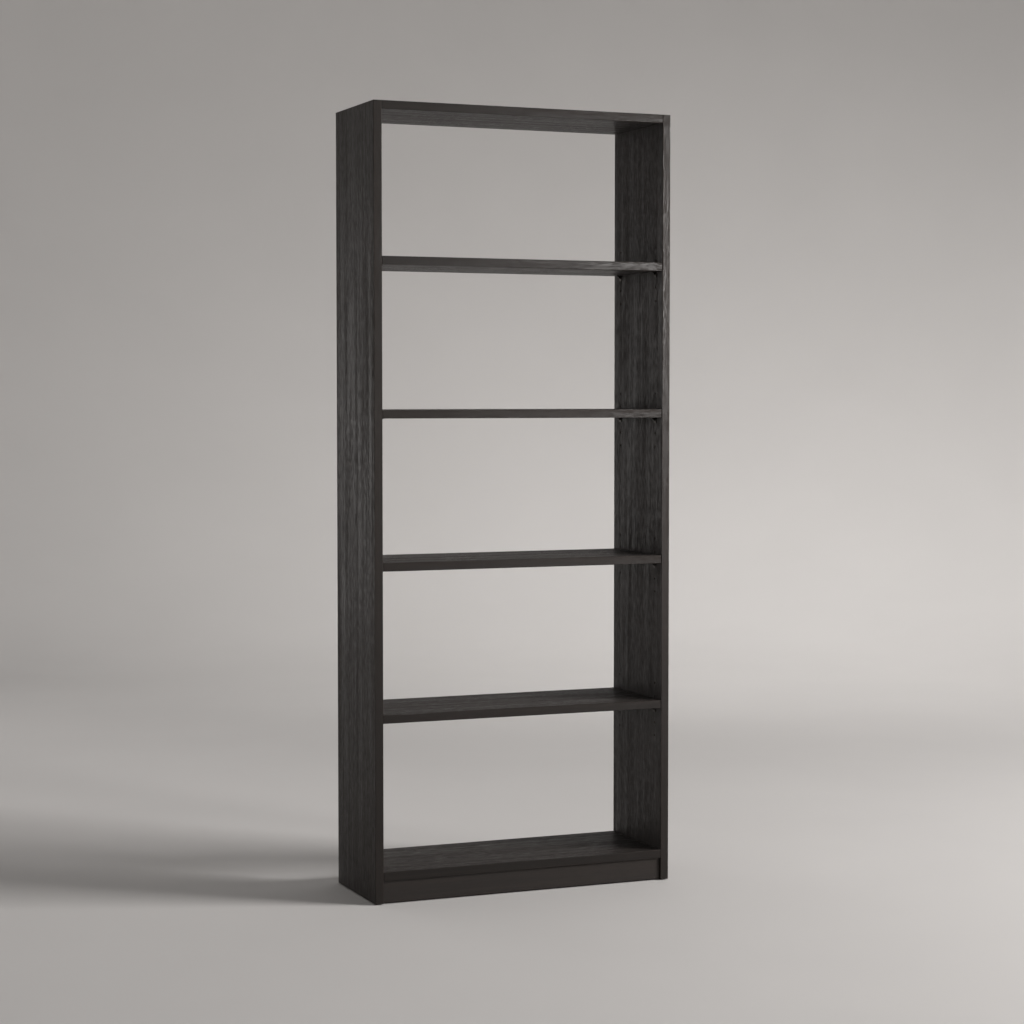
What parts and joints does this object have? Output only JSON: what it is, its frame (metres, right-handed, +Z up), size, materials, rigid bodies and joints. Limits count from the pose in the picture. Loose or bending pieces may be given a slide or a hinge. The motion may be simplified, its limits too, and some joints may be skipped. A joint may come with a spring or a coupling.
{
  "type": "bookcase with adjustable shelves",
  "caption": "Tall narrow open-backed bookcase: two side boards, fixed top and bottom, plinth, and loose shelves resting on push-in supports in rows of holes.",
  "frame": {"origin": "on the floor, at the middle of the case's width and depth", "axes": "+X towards the right-hand side board as seen from the front, +Y towards the back, +Z up"},
  "size_m": [0.754, 0.27, 1.85],
  "materials": {
    "upright_veneer": "satin black-brown stained veneer, grain upright",
    "upright_lipping": "satin black-brown stained solid edge strip, grain upright",
    "cross_veneer": "satin black-brown stained veneer, grain along the board",
    "cross_lipping": "satin black-brown stained solid edge strip, grain along the board",
    "beech": "plain unfinished beech",
    "cast_zinc": "as-cast zinc alloy, dull grey",
    "fitting_steel": "bright zinc-plated steel",
    "black_nickel": "satin black nickel plate",
    "cap_plastic": "matt dark brown moulded plastic",
    "glide_plastic": "matt dark grey moulded plastic"
  },
  "bodies": {
    "case": {"side_left": "upright_veneer", "side_left_lipping": "upright_lipping", "side_right": "upright_veneer", "side_right_lipping": "upright_lipping", "top_panel": "cross_veneer", "top_panel_lipping": "cross_lipping", "bottom_panel": "cross_veneer", "bottom_panel_lipping": "cross_lipping", "plinth_front": "cross_veneer", "plinth_rear": "cross_veneer", "cam_locks_top": "cast_zinc", "cam_locks_bottom": "cast_zinc", "cam_locks_plinth": "cast_zinc", "connecting_bolts_top": "fitting_steel", "connecting_bolts_bottom": "fitting_steel", "connecting_bolts_plinth": "fitting_steel", "dowels_top": "beech", "dowels_bottom": "beech", "dowels_plinth": "beech", "cam_caps_top": "cap_plastic", "glide_front_left": "glide_plastic", "glide_front_right": "glide_plastic", "glide_rear_left": "glide_plastic", "glide_rear_right": "glide_plastic"},
    "shelf_1": {"shelf_1": "cross_veneer", "shelf_1_lipping": "cross_lipping"},
    "shelf_1_pin_front_left": {"shelf_1_pin_front_left": "black_nickel"},
    "shelf_1_pin_front_right": {"shelf_1_pin_front_right": "black_nickel"},
    "shelf_1_pin_rear_left": {"shelf_1_pin_rear_left": "black_nickel"},
    "shelf_1_pin_rear_right": {"shelf_1_pin_rear_right": "black_nickel"},
    "shelf_2": {"shelf_2": "cross_veneer", "shelf_2_lipping": "cross_lipping"},
    "shelf_2_pin_front_left": {"shelf_2_pin_front_left": "black_nickel"},
    "shelf_2_pin_front_right": {"shelf_2_pin_front_right": "black_nickel"},
    "shelf_2_pin_rear_left": {"shelf_2_pin_rear_left": "black_nickel"},
    "shelf_2_pin_rear_right": {"shelf_2_pin_rear_right": "black_nickel"},
    "shelf_3": {"shelf_3": "cross_veneer", "shelf_3_lipping": "cross_lipping"},
    "shelf_3_pin_front_left": {"shelf_3_pin_front_left": "black_nickel"},
    "shelf_3_pin_front_right": {"shelf_3_pin_front_right": "black_nickel"},
    "shelf_3_pin_rear_left": {"shelf_3_pin_rear_left": "black_nickel"},
    "shelf_3_pin_rear_right": {"shelf_3_pin_rear_right": "black_nickel"},
    "shelf_4": {"shelf_4": "cross_veneer", "shelf_4_lipping": "cross_lipping"},
    "shelf_4_pin_front_left": {"shelf_4_pin_front_left": "black_nickel"},
    "shelf_4_pin_front_right": {"shelf_4_pin_front_right": "black_nickel"},
    "shelf_4_pin_rear_left": {"shelf_4_pin_rear_left": "black_nickel"},
    "shelf_4_pin_rear_right": {"shelf_4_pin_rear_right": "black_nickel"}
  },
  "joints": [
    {"name": "shelf_1_lift", "type": "slide", "parent": "case", "child": "shelf_1", "axis": [0, 0, 1], "range_m": [0, 0.318]},
    {"name": "shelf_1_pin_front_left_pull", "type": "slide", "parent": "case", "child": "shelf_1_pin_front_left", "axis": [1, 0, 0], "range_m": [0, 0.009]},
    {"name": "shelf_1_pin_front_right_pull", "type": "slide", "parent": "case", "child": "shelf_1_pin_front_right", "axis": [-1, 0, 0], "range_m": [0, 0.009]},
    {"name": "shelf_1_pin_rear_left_pull", "type": "slide", "parent": "case", "child": "shelf_1_pin_rear_left", "axis": [1, 0, 0], "range_m": [0, 0.009]},
    {"name": "shelf_1_pin_rear_right_pull", "type": "slide", "parent": "case", "child": "shelf_1_pin_rear_right", "axis": [-1, 0, 0], "range_m": [0, 0.009]},
    {"name": "shelf_2_lift", "type": "slide", "parent": "case", "child": "shelf_2", "axis": [0, 0, 1], "range_m": [0, 0.318]},
    {"name": "shelf_2_pin_front_left_pull", "type": "slide", "parent": "case", "child": "shelf_2_pin_front_left", "axis": [1, 0, 0], "range_m": [0, 0.009]},
    {"name": "shelf_2_pin_front_right_pull", "type": "slide", "parent": "case", "child": "shelf_2_pin_front_right", "axis": [-1, 0, 0], "range_m": [0, 0.009]},
    {"name": "shelf_2_pin_rear_left_pull", "type": "slide", "parent": "case", "child": "shelf_2_pin_rear_left", "axis": [1, 0, 0], "range_m": [0, 0.009]},
    {"name": "shelf_2_pin_rear_right_pull", "type": "slide", "parent": "case", "child": "shelf_2_pin_rear_right", "axis": [-1, 0, 0], "range_m": [0, 0.009]},
    {"name": "shelf_3_lift", "type": "slide", "parent": "case", "child": "shelf_3", "axis": [0, 0, 1], "range_m": [0, 0.318]},
    {"name": "shelf_3_pin_front_left_pull", "type": "slide", "parent": "case", "child": "shelf_3_pin_front_left", "axis": [1, 0, 0], "range_m": [0, 0.009]},
    {"name": "shelf_3_pin_front_right_pull", "type": "slide", "parent": "case", "child": "shelf_3_pin_front_right", "axis": [-1, 0, 0], "range_m": [0, 0.009]},
    {"name": "shelf_3_pin_rear_left_pull", "type": "slide", "parent": "case", "child": "shelf_3_pin_rear_left", "axis": [1, 0, 0], "range_m": [0, 0.009]},
    {"name": "shelf_3_pin_rear_right_pull", "type": "slide", "parent": "case", "child": "shelf_3_pin_rear_right", "axis": [-1, 0, 0], "range_m": [0, 0.009]},
    {"name": "shelf_4_lift", "type": "slide", "parent": "case", "child": "shelf_4", "axis": [0, 0, 1], "range_m": [0, 0.318]},
    {"name": "shelf_4_pin_front_left_pull", "type": "slide", "parent": "case", "child": "shelf_4_pin_front_left", "axis": [1, 0, 0], "range_m": [0, 0.009]},
    {"name": "shelf_4_pin_front_right_pull", "type": "slide", "parent": "case", "child": "shelf_4_pin_front_right", "axis": [-1, 0, 0], "range_m": [0, 0.009]},
    {"name": "shelf_4_pin_rear_left_pull", "type": "slide", "parent": "case", "child": "shelf_4_pin_rear_left", "axis": [1, 0, 0], "range_m": [0, 0.009]},
    {"name": "shelf_4_pin_rear_right_pull", "type": "slide", "parent": "case", "child": "shelf_4_pin_rear_right", "axis": [-1, 0, 0], "range_m": [0, 0.009]}
  ]
}
